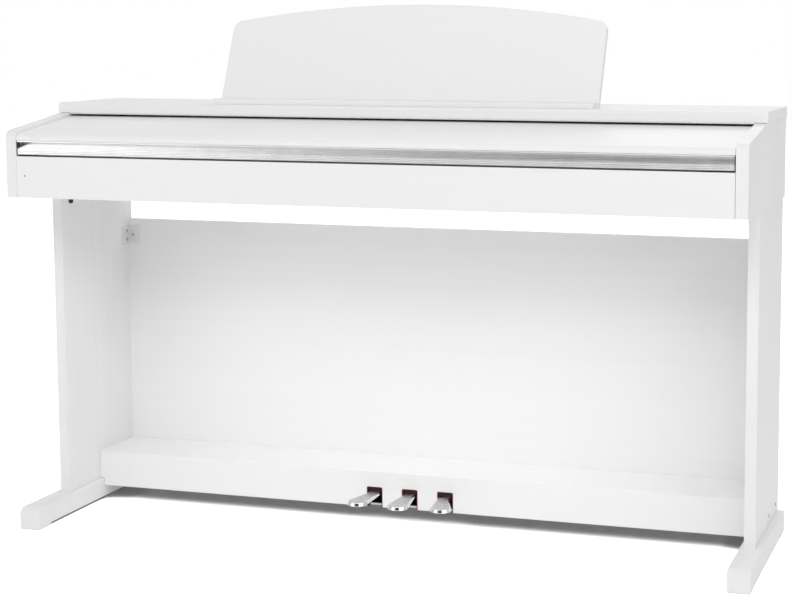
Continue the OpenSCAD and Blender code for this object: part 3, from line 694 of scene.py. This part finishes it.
def pedal_side(low):
    """Half-width, Y and lean of a pedal's side: a round tip, then a taper to the straight neck.

    The lean says how far the middle line has moved from the neck's (0) to the tip's (1).
    """
    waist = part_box("pedal_box_front")[0].y - 8 * MM
    round_end = low.y + TIP_DEPTH
    points = []
    for k in range(13):
        turn = math.radians(7.5 * k)
        points.append((PEDAL_TIP * math.sin(turn), round_end - TIP_DEPTH * math.cos(turn), 1.0))
    for k in range(1, 17):
        t = k / 16
        ease = 0.65 * t + 0.35 * t * t * (3 - 2 * t)
        half = PEDAL_TIP + (PEDAL_NECK - PEDAL_TIP) * ease
        points.append((half, round_end + (waist - round_end) * t, 1 - ease))
    rear = AXLE.y + 12 * MM
    points += [(PEDAL_NECK, waist + (rear - waist) * k / 10, 0.0) for k in range(1, 11)]
    return points


def middle_lines(low, high):
    """X of a pedal's neck and of its tip. The outer pedals' tips bend outwards."""
    outwards = round((low.x + high.x) / 0.16)
    if outwards == 0:
        return (low.x + high.x) / 2, (low.x + high.x) / 2
    if outwards < 0:
        return high.x - PEDAL_NECK, low.x + PEDAL_TIP
    return low.x + PEDAL_NECK, high.x - PEDAL_TIP


def pedal(node):
    """A cast pedal: satin tread, polished edge and lip. Its heights follow the CAD lever."""
    low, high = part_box(node)
    neck_x, tip_x = middle_lines(low, high)
    skin = BVHTree.FromBMesh(cad_mesh(node))
    side = pedal_side(low)

    def heights(y):
        spot = min(max(y, low.y + 0.3 * MM), AXLE.y - 14 * MM)
        lean = next(lean for _, at, lean in side if at >= spot)
        x = neck_x + (tip_x - neck_x) * lean
        top = skin.ray_cast(Vector((x, spot, 1.0)), Vector((0, 0, -1)))[0].z
        belly = skin.ray_cast(Vector((x, spot, -1.0)), Vector((0, 0, 1)))[0].z
        return top, belly

    levels = [heights(y) for _, y, _ in side]
    bm = bmesh.new()
    rings = []
    for inset, drop in PEDAL_EDGE:
        right, left = [], []
        for (half, y, lean), (top, bottom) in zip(side, levels):
            x = neck_x + (tip_x - neck_x) * lean
            ahead = max(0.0, low.y + TIP_DEPTH - y)
            reach = half * (1 - inset / PEDAL_TIP) if ahead else half - inset
            spot = (y + ahead * inset / TIP_DEPTH, top - drop * (top - bottom) / PEDAL_EDGE[-1][1])
            right.append(bm.verts.new((x + reach, *spot)))
            left.append(right[-1] if half < 1e-6 else bm.verts.new((x - reach, *spot)))
        rings.append((right, left))
    join_rings(bm, [right + left[:0:-1] for right, left in rings], material=1)
    for (right, left), material in ((rings[0], 0), (rings[-1], 1)):
        for i in range(len(right) - 1):
            corners = dict.fromkeys((right[i], right[i + 1], left[i + 1], left[i]))
            bm.faces.new(list(corners)).material_index = material
    hub = aimed((neck_x - PEDAL_NECK, AXLE.y, AXLE.z), (1, 0, 0))
    bore, hub_r, wide = 4.05 * MM, 9 * MM, 2 * PEDAL_NECK
    lathe(bm, [(bore, 0), (hub_r - 0.6 * MM, 0), (hub_r, 0.6 * MM), (hub_r, wide - 0.6 * MM),
               (hub_r - 0.6 * MM, wide), (bore, wide)], hub, 40, 1, closed=True)
    settle(new_piece(node + "_cast", bm, ["nickel", "lip"], 40), node)


def make_slot_felts():
    """Felt glued round each pedal slot, with soft corners and a slightly ragged face."""
    thick, corner_r, rows = 1.6 * MM, 3 * MM, 7
    bm = bmesh.new()
    for low, high in solids("pedal_slot_felts"):
        middle = (low.x + high.x) / 2

        def half_line(margin):
            """From the foot of the left side up and round the corner to the middle of the top."""
            x, top = low.x + margin, high.z - margin
            line = [(x, low.z + (top - corner_r - low.z) * k / 14) for k in range(14)]
            line += arc((x + corner_r, top - corner_r), corner_r, 180, 90, 8)
            start = line[-1][0]
            return line + [(start + (middle - start) * k / 8, top) for k in range(1, 9)]

        inner, outer = half_line(thick), half_line(0)
        inner += [(2 * middle - x, z) for x, z in reversed(inner[:-1])]
        outer += [(2 * middle - x, z) for x, z in reversed(outer[:-1])]
        lines = []
        for (xi, zi), (xo, zo) in zip(inner, outer):
            ys = [low.y + (high.y - low.y) * r / (rows - 1) for r in range(rows)]
            line = [bm.verts.new((xi, y, zi)) for y in ys] + [bm.verts.new((xo, y, zo)) for y in reversed(ys)]
            lines.append(line)
        join_rings(bm, lines)
        for line in (lines[0], lines[-1]):
            bm.faces.new(line)
        # Each pad is the pedal's upstop felt; its near-black colour is painted shade for the dark slot behind
        # it.
        pad_low = (low.x + thick, low.y + 2.7 * MM, PEDAL_TOP + 0.8 * MM)
        block(bm, pad_low, (high.x - thick, high.y, high.z - thick), 1.2 * MM, 1)
    for vert in bm.verts:
        vert.co += 0.16 * MM * noise.noise_vector(vert.co * 900)
    settle(new_piece("pedal_slot_felt_linings", bm, ["felt", "painted_shade_felt"], 50), "pedal_slot_felts")


def make_pedal_springs():
    """Torsion springs: three turns of round wire between two straight legs."""
    wire_r, turns, steps = 1.1 * MM, 3, 28
    bm = bmesh.new()
    for low, high in solids("pedal_springs"):
        coil_r = (high.z - low.z) / 2 - wire_r
        x0, x1 = low.x + wire_r, high.x - wire_r
        foot = AXLE.z - coil_r
        path = [Vector((x0, low.y + (AXLE.y - low.y) * k / 6, foot)) for k in range(6)]
        for k in range(turns * steps + 1):
            angle = math.tau * (k / steps - 0.25)
            x = x0 + (x1 - x0) * k / (turns * steps)
            path.append(Vector((x, AXLE.y + coil_r * math.cos(angle), AXLE.z + coil_r * math.sin(angle))))
        path += [Vector((x1, AXLE.y + (high.y - AXLE.y) * k / 6, foot)) for k in range(1, 7)]
        tube(bm, path, wire_r)
    settle(new_piece("pedal_springs_wound", bm, ["steel"], 60), "pedal_springs")


def make_axle():
    """The pedals' axle, with broken ends and a clip groove near each."""
    low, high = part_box("pedal_axle")
    radius, length = (high.z - low.z) / 2, high.x - low.x
    neck, chamfer = 0.82 * radius, 0.6 * MM
    half = [(0, 0), (radius - chamfer, 0), (radius, chamfer), (radius, 2.2 * MM), (neck, 2.2 * MM),
            (neck, 3.2 * MM), (radius, 3.2 * MM)]
    bm = bmesh.new()
    place = aimed((low.x, AXLE.y, AXLE.z), (1, 0, 0))
    lathe(bm, half + [(r, length - h) for r, h in reversed(half)], place, 32)
    settle(new_piece("pedal_axle_turned", bm, ["steel"]), "pedal_axle")


def make_pedals():
    for node in ("soft_pedal", "sostenuto_pedal", "damper_pedal"):
        pedal(node)
    make_slot_felts()
    make_pedal_springs()
    make_axle()
    eased("pedal_cradle", 0.4 * MM, "black_metal", 2)


# ---------------------------------------------------------------- key cover

def make_grip_rail():
    """Drawn aluminium grip: a flange under the lip, a finger scoop of fine steps and a ribbed front.

    Thin black caps close the front part of its ends.
    """
    low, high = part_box("cover_grip_rail")

    def at(back, up):
        """A point in millimetres behind the flange's front and above the rail's foot."""
        return low.y + back * MM, low.z + up * MM

    slope = math.tan(math.radians(7.24))    # of the cover board
    back, tall = (high.y - low.y) / MM, (high.z - low.z) / MM
    under = tall - back * slope             # height of the cover's underside at the flange's front
    flange_t = 2.4
    outline = [at(5.3, 9.2), at(5.3, 0), at(1.3, 0), at(0.8, 0.5)]
    ribs, pitch, bulge = 3, 3.05, 1.9
    for k in range(ribs):
        centre = at(0.8 + bulge, 0.7 + (k + 0.5) * pitch)
        outline += arc(centre, bulge * MM, 234, 126, 8)
    foot, deep, steps = (1.1, 10.4), (26.8, 22.4), 9
    run, rise = (deep[0] - foot[0]) / steps, (deep[1] - foot[1]) / steps
    nose = ((0, 0), (0.05, 0.55), (0.22, 0.85), (0.5, 1))
    for k in range(steps):
        y, z = foot[0] + k * run, foot[1] + k * rise
        outline += [at(y + ahead, z + part * rise) for ahead, part in nose]
    wall = 27.2                             # the scoop's rear wall
    outline += [at(*deep), at(wall, 23.4), at(wall, under + wall * slope - flange_t - 0.4)]
    outline += [at(y, under + y * slope - flange_t) for y in (26.8, 0.6)]
    outline += [at(0.15, under - 2.2), at(0, under - 1.8), at(0, under - 0.8), at(0.9, under)]
    outline += [at(back, tall), at(back, 21)]
    cap_t, cap_deep = 1.2 * MM, 11
    cap = [at(0, under), at(0, under - flange_t), at(0.8, 10), at(0.8, 0), at(6, 0), at(6, 8.8),
           at(cap_deep, 11.2), at(cap_deep, under + cap_deep * slope)]
    bm = bmesh.new()
    prism(bm, outline, low.x + cap_t, high.x - cap_t)
    prism(bm, cap, low.x, low.x + cap_t, 1)
    prism(bm, cap, high.x - cap_t, high.x, 1)
    settle(new_piece("grip_rail_drawn", bm, ["rail", "black_plastic"], 28), "cover_grip_rail")


def make_cover_fittings():
    make_grip_rail()
    eased("cover_brackets", 0.4 * MM, "steel", 2)
    eased("cover_shaft", 0.3 * MM, "steel", 2)
    eased("cover_runners", 0.5 * MM, "nylon")
    eased("cover_tracks", 0.2 * MM, "black_metal", 2)


# ---------------------------------------------------------------- keyboard

def felt_strip(name, outline, x0, x1, material="felt"):
    """A long strip of felt with a slightly wavy surface."""
    bm = bmesh.new()
    count = 160
    rings = [[bm.verts.new((x0 + (x1 - x0) * k / count, y, z)) for y, z in outline] for k in range(count + 1)]
    join_rings(bm, rings)
    for ring in (rings[0], rings[-1]):
        bm.faces.new(ring)
    for vert in bm.verts:
        vert.co += 0.12 * MM * noise.noise_vector(vert.co * 300)
    piece = new_piece(name, bm, [material], 40)
    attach(piece, "root")


def make_dust_strip():
    """A strip of white fleece below the top board's front edge; the cover slides under it."""
    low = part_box("top_board")[0]
    cover_low, cover_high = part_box("key_cover")
    front, top = low.y + 0.5 * MM, low.z + 0.3 * MM
    section = ((0, 0), (0, -2.4), (0.4, -2.7), (2.6, -2.7), (3, -2.4), (3, 0))
    outline = [(front + y * MM, top + z * MM) for y, z in section]
    felt_strip("dust_strip", outline, cover_low.x, cover_high.x, "white_felt")


def make_keyboard():
    for node, slot in NODE_SLOT.items():
        if slot == "white_key":
            eased(node, 0.6 * MM, "white_key")
        if slot == "black_key":
            eased(node, 1.1 * MM, "black_key")
    eased("key_chassis", 0.4 * MM, "black_plastic", 2)
    eased("key_blocks", 1.5 * MM, "black_plastic")
    low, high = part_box("key_chassis")
    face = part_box("control_panel")[0].y
    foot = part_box("treble_white_keys")[1].z + 1.2 * MM
    thick, tall = 2.6 * MM, 4.4 * MM
    outline = [(face - thick, foot), (face - thick - 0.3 * MM, foot + 0.7 * tall),
               (face - 0.6 * thick, foot + tall), (face, foot + tall),
               (face, foot + 0.4 * tall), (face, foot)]
    felt_strip("key_felt_strip", outline, low.x, high.x)


PRINT_T = 0.12 * MM      # thickness of the printed marks


def make_controls():
    """The control panel, its two buttons and the knurled volume knob."""
    eased("control_panel", 0.5 * MM, "black_plastic", 2)
    panel_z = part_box("control_panel")[1].z
    marks = bmesh.new()
    for node in ("power_button", "function_button"):
        low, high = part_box(node)
        flange = (high.x - low.x) / 2
        radius = flange - 1.5 * MM
        tall = high.z - low.z
        place = Matrix.Translation(((low.x + high.x) / 2, (low.y + high.y) / 2, low.z))
        bm = bmesh.new()
        lathe(bm, [(0, 0), (flange - 0.2 * MM, 0), (flange, 0.2 * MM), (flange, 1.8 * MM),
                   (flange - 0.2 * MM, 2 * MM), (radius, 2 * MM), (radius, tall - 0.9 * MM),
                   (radius - 0.25 * MM, tall - 0.3 * MM), (radius - 0.9 * MM, tall),
                   (radius - 1.6 * MM, tall - 0.15 * MM), (0, tall - 0.5 * MM)], place, 48)
        settle(new_piece(node + "_moulded", bm, ["black_plastic"], 40), node)
        place = Matrix.Translation((place.translation.x, place.translation.y, panel_z))
        inner, outer = flange + 2.2 * MM, flange + 2.7 * MM
        lathe(marks, [(inner, 0), (inner, PRINT_T), (outer, PRINT_T), (outer, 0)], place, 48, closed=True)
    low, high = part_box("volume_knob")
    middle = (low + high) / 2
    radius = (high.x - low.x) / 2
    skirt = panel_z + 0.4 * MM - low.z
    tall = high.z - low.z
    place = Matrix.Translation((middle.x, middle.y, low.z))
    bm = bmesh.new()
    lathe(bm, [(0, 0), (2.6 * MM, 0), (3 * MM, 0.4 * MM), (3 * MM, skirt), (radius - 0.3 * MM, skirt)],
          place, 96)
    lathe(bm, [(radius - 0.3 * MM, skirt), (radius, skirt + 0.3 * MM), (radius, tall - 1.4 * MM)], place, 96,
          ribs=(radius, 0.35 * MM))
    lathe(bm, [(radius - 0.35 * MM, tall - 1.4 * MM), (radius - 0.7 * MM, tall - 0.4 * MM),
               (radius - 1.5 * MM, tall), (radius - 2.3 * MM, tall - 0.2 * MM), (0, tall - 0.35 * MM)],
          place, 96)
    block(bm, (middle.x - 0.5 * MM, middle.y + 4 * MM, high.z - 0.6 * MM),
          (middle.x + 0.5 * MM, middle.y + radius - 1.2 * MM, high.z + 0.05 * MM), 0.1 * MM, 1)
    settle(new_piece("volume_knob_moulded", bm, ["black_plastic", "white_metal"], 40), "volume_knob")
    for k in range(11):
        angle = math.radians(240 - 30 * k)
        reach = radius + 4 * MM
        spot = (middle.x + reach * math.cos(angle), middle.y + reach * math.sin(angle), panel_z)
        lathe(marks, [(0.6 * MM, 0), (0.6 * MM, PRINT_T), (0, PRINT_T)], Matrix.Translation(spot), 12)
    piece = new_piece("panel_marks", marks, ["white_metal"])
    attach(piece, "root")


# ---------------------------------------------------------------- inside and back

def make_speakers():
    """Paper cones with a rolled surround, in a steel basket with a magnet."""
    bm = bmesh.new()
    for low, high in solids("speakers"):
        place = Matrix.Translation(((low.x + high.x) / 2, (low.y + high.y) / 2, low.z))
        rim = (high.x - low.x) / 2
        level = 4.5 * MM
        roll = [(a, level - 0.8 * (b - level)) for a, b in arc((38.5 * MM, level), 3 * MM, 180, 0, 8)]
        ridges = [((13 + 1.5 * k) * MM, (18.2 - 0.8 * k + 0.25 * (k % 2)) * MM) for k in range(15)]
        cap = [(12 * MM * math.sin(math.radians(a)), (18.4 - 4.2 * math.cos(math.radians(a))) * MM)
               for a in (20, 40, 60, 80)]
        lathe(bm, [(0, 14.2 * MM)] + cap + ridges, place, 48, 0)
        lathe(bm, [ridges[-1]] + roll + [(42 * MM, 3 * MM)], place, 48, 1)
        lathe(bm, [(42 * MM, 3 * MM), (42 * MM, 0.2 * MM), (42.3 * MM, 0), (rim - 0.4 * MM, 0),
                   (rim, 0.4 * MM), (rim, 2.6 * MM), (rim - 0.4 * MM, 3 * MM), (44 * MM, 3 * MM),
                   (40 * MM, 9 * MM), (27 * MM, 25 * MM), (26 * MM, 26 * MM)], place, 48, 2)
        lathe(bm, [(26 * MM, 26 * MM), (26.6 * MM, 26.4 * MM), (26 * MM, 30 * MM), (24 * MM, 30.4 * MM),
                   (24 * MM, 38 * MM), (25.5 * MM, 38.4 * MM), (25.5 * MM, 39.6 * MM), (24.8 * MM, 40 * MM),
                   (0, 40 * MM)], place, 48, 3)
        for k in range(4):
            angle = math.radians(45 + 90 * k)
            spot = place.translation + 47 * MM * Vector((math.cos(angle), math.sin(angle), 0))
            screw_head(bm, Matrix.Translation(spot + Vector((0, 0, 3 * MM))), 2.6 * MM, 1.6 * MM)
    settle(new_piece("speakers_built", bm, ["cone", "black_plastic", "black_metal", "steel"], 40), "speakers")


def make_grilles():
    """A wire grille in each speaker hole of the keybed."""
    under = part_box("keybed")[0].z
    bm = bmesh.new()
    for low, high in solids("speakers"):
        middle = (low + high) / 2
        rim, wire, pitch = 44.9 * MM, 0.6 * MM, 5 * MM
        place = Matrix.Translation((middle.x, middle.y, under))
        lathe(bm, [(rim - 2.5 * MM, 1 * MM), (rim - 2.5 * MM, 3.4 * MM), (rim, 3.4 * MM), (rim, 1 * MM),
                   (rim - 0.8 * MM, 0.6 * MM), (rim - 1.7 * MM, 0.6 * MM)], place, 64, closed=True)
        for k in range(-8, 9):
            reach = math.sqrt((rim - 1.5 * MM) ** 2 - (k * pitch) ** 2)
            tube(bm, [place @ Vector((k * pitch, end * reach, 1.8 * MM)) for end in (-1, 1)], wire, 8)
            tube(bm, [place @ Vector((end * reach, k * pitch, 2.8 * MM)) for end in (-1, 1)], wire, 8)
    piece = new_piece("speaker_grilles", bm, ["black_metal"], 50)
    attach(piece, "root")


def make_main_board():
    """Circuit board on steel posts, with chips, capacitors, a heat sink and plugs."""
    low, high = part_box("main_board")
    foot, face = low.z + 8 * MM, low.z + 9.6 * MM
    bm = bmesh.new()
    block(bm, (low.x, low.y, foot), (high.x, high.y, face), 0.2 * MM, 0)
    middle_x = (low.x + high.x) / 2
    for x in (low.x + 10 * MM, high.x - 10 * MM):
        for y in (low.y + 10 * MM, high.y - 10 * MM):
            lathe(bm, [(0, 0), (3 * MM, 0), (3 * MM, 7.7 * MM), (2.6 * MM, 8 * MM), (0, 8 * MM)],
                  Matrix.Translation((x, y, low.z)), 6, 3)
            screw_head(bm, Matrix.Translation((x, y, face)), 2.6 * MM, 1.6 * MM)
    chips = ((-75, 35, 30, 30, 11), (0, 57, 40, 34, 14), (40, 25, 18, 12, 6), (-30, 22, 16, 10, 5))
    for x, y, wide, deep, legs in chips:
        at = Vector((middle_x + x * MM, low.y + y * MM, face))
        half = Vector((wide / 2 * MM, deep / 2 * MM, 0))
        block(bm, at - half, at + half + Vector((0, 0, 2.2 * MM)), 0.3 * MM, 1)
        for k in range(legs):
            leg_x = at.x - half.x + (k + 0.75) * 2 * half.x / (legs + 0.5)
            for end in (-1, 1):
                edge = at.y + end * half.y
                block(bm, (leg_x - 0.3 * MM, min(edge, edge + end * 1.4 * MM), face),
                      (leg_x + 0.3 * MM, max(edge, edge + end * 1.4 * MM), face + 0.7 * MM), 0, 2)
    for k in range(4):
        can = [(0, 0), (4 * MM, 0), (4 * MM, 1.4 * MM), (3.7 * MM, 1.8 * MM), (4 * MM, 2.2 * MM),
               (4 * MM, 11.6 * MM), (3.6 * MM, 12 * MM), (3.2 * MM, 11.8 * MM), (0, 11.8 * MM)]
        lathe(bm, can, Matrix.Translation((middle_x + (14 * k - 100) * MM, high.y - 15 * MM, face)), 28, 2)
    sink_front, sink_rear = high.y - 55 * MM, high.y - 5 * MM
    for k in range(9):
        x = middle_x + (70 + 5 * k) * MM
        block(bm, (x - 0.8 * MM, sink_front, face), (x + 0.8 * MM, sink_rear, face + 14.4 * MM), 0.3 * MM, 1)
    block(bm, (middle_x + 69 * MM, sink_front, face), (middle_x + 111 * MM, sink_rear, face + 2.5 * MM),
          0.3 * MM, 1)
    for k in range(5):
        x = middle_x + (22 * k - 44) * MM
        block(bm, (x - 7 * MM, low.y + 2 * MM, face), (x + 7 * MM, low.y + 8 * MM, face + 7 * MM),
              0.4 * MM, 4)
        for pin in range(4):
            pin_x = x + (pin - 1.5) * 2.5 * MM
            block(bm, (pin_x - 0.3 * MM, low.y + 4.5 * MM, face + 7 * MM),
                  (pin_x + 0.3 * MM, low.y + 5.1 * MM, face + 9 * MM), 0, 2)
    materials = ["board", "black_plastic", "steel", "steel", "nylon"]
    settle(new_piece("main_board_populated", bm, materials, 40), "main_board")


def make_rear_sockets():
    """The socket plate, with nickel bushes in the line sockets and a barrel inlet."""
    eased("rear_sockets", 0.4 * MM, "black_plastic", 2)
    low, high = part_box("rear_sockets")
    bm = bmesh.new()
    z = (low.z + high.z) / 2
    for offset in (26.5 * MM, 56.5 * MM):
        place = aimed((low.x + offset, high.y, z), (0, 1, 0))
        lathe(bm, [(3.2 * MM, -9 * MM), (3.2 * MM, 0.9 * MM), (3.5 * MM, 1.2 * MM), (4.7 * MM, 1.2 * MM),
                   (5 * MM, 0.9 * MM), (5 * MM, 0), (3.25 * MM, -0.2 * MM)], place, 32)
        lathe(bm, [(5.2 * MM, 0), (5.2 * MM, 0.5 * MM), (7 * MM, 0.5 * MM), (7.3 * MM, 0.2 * MM),
                   (7.3 * MM, 0)], place, 6, closed=True)
    place = aimed((low.x + 89.5 * MM, high.y, z), (0, 1, 0))
    lathe(bm, [(2.8 * MM, 0), (2.8 * MM, 0.5 * MM), (3 * MM, 0.7 * MM), (3.9 * MM, 0.7 * MM),
               (4.2 * MM, 0.4 * MM), (4.2 * MM, 0)], place, 32, closed=True)
    lathe(bm, [(0, -11 * MM), (0.9 * MM, -11 * MM), (0.9 * MM, -1.6 * MM), (0.5 * MM, -1 * MM),
               (0, -0.9 * MM)], place, 16)
    piece = new_piece("socket_bushes", bm, ["lip"], 40)
    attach(piece, "root")
    inset = 6 * MM
    spots = [(x, high.y - 0.6 * MM, z) for x in (low.x + inset, high.x - inset)
             for z in (low.z + inset, high.z - inset)]
    extra_screws("socket_plate_screws", spots, (0, 1, 0), 2.4 * MM, 1.5 * MM, PAN_HEAD)


def make_flag():
    """A black flag in front: the polished metal mirrors it as a dark gap between the white cards."""
    bm = bmesh.new()
    block(bm, (-1.5, -4.6, 0.8), (1.1, -4.56, 2.6), 0.01)
    flag = new_piece("black_flag", bm, ["black_plastic"])
    flag.visible_camera = False


def make_floor():
    """A white floor that stays white in the open, with a painted contact shadow: its colour and the glow the
    camera sees darken close to what stands on it.
    """
    bm = bmesh.new()
    bmesh.ops.create_grid(bm, x_segments=1, y_segments=1, size=14)
    s = Shader("floor", Specular_IOR_Level=0.1)
    cloud = s.noise((3, 3, 3), 3, 0.5)
    s.roughness(s.spread(cloud, 0.3, 0.7, 0.8, 0.9))
    near = s.node("ShaderNodeAmbientOcclusion", samples=32)
    near.inputs["Distance"].default_value = 0.06
    openness = near.outputs["AO"]
    # Painted contact shadow: the floor's colour darkens where something stands close above it.
    painted_contact_shadow = s.spread(openness, 0.2, 0.45, 0.45, 1.0)
    tone = s.maths("MULTIPLY", s.spread(cloud, 0.3, 0.7, 0.79, 0.81), painted_contact_shadow)
    s.colour(s.blend(tone, (0.0, 0.0, 0.0), (1.0, 1.0, 1.0)))
    seen = s.node("ShaderNodeLightPath").outputs["Is Camera Ray"]
    # The glow the camera sees fades out there too: painted shadow.
    shine = s.spread(openness, 0.22, 0.5, 0.0, FLOOR_SEEN)
    hidden = s.maths("SUBTRACT", 1.0, seen)
    s.shader.inputs["Emission Color"].default_value = (1.0, 1.0, 1.0, 1.0)
    s.link(s.maths("ADD", s.maths("MULTIPLY", hidden, FLOOR_GLOW), s.maths("MULTIPLY", shine, seen)),
           s.shader.inputs["Emission Strength"])
    MAT["floor"] = s.material
    new_piece("floor", bm, ["floor"])


make_camera()
make_lights()
make_floor()
make_flag()
dress_cad_nodes()
make_boards()
make_screws()
make_extra_screws()
make_panel_brackets()
make_leg_bolts()
make_lamp()
make_pedals()
make_cover_fittings()
make_dust_strip()
make_keyboard()
make_controls()
make_speakers()
make_grilles()
make_main_board()
make_rear_sockets()
eased("music_rest_brackets", 0.4 * MM, "black_metal", 2)
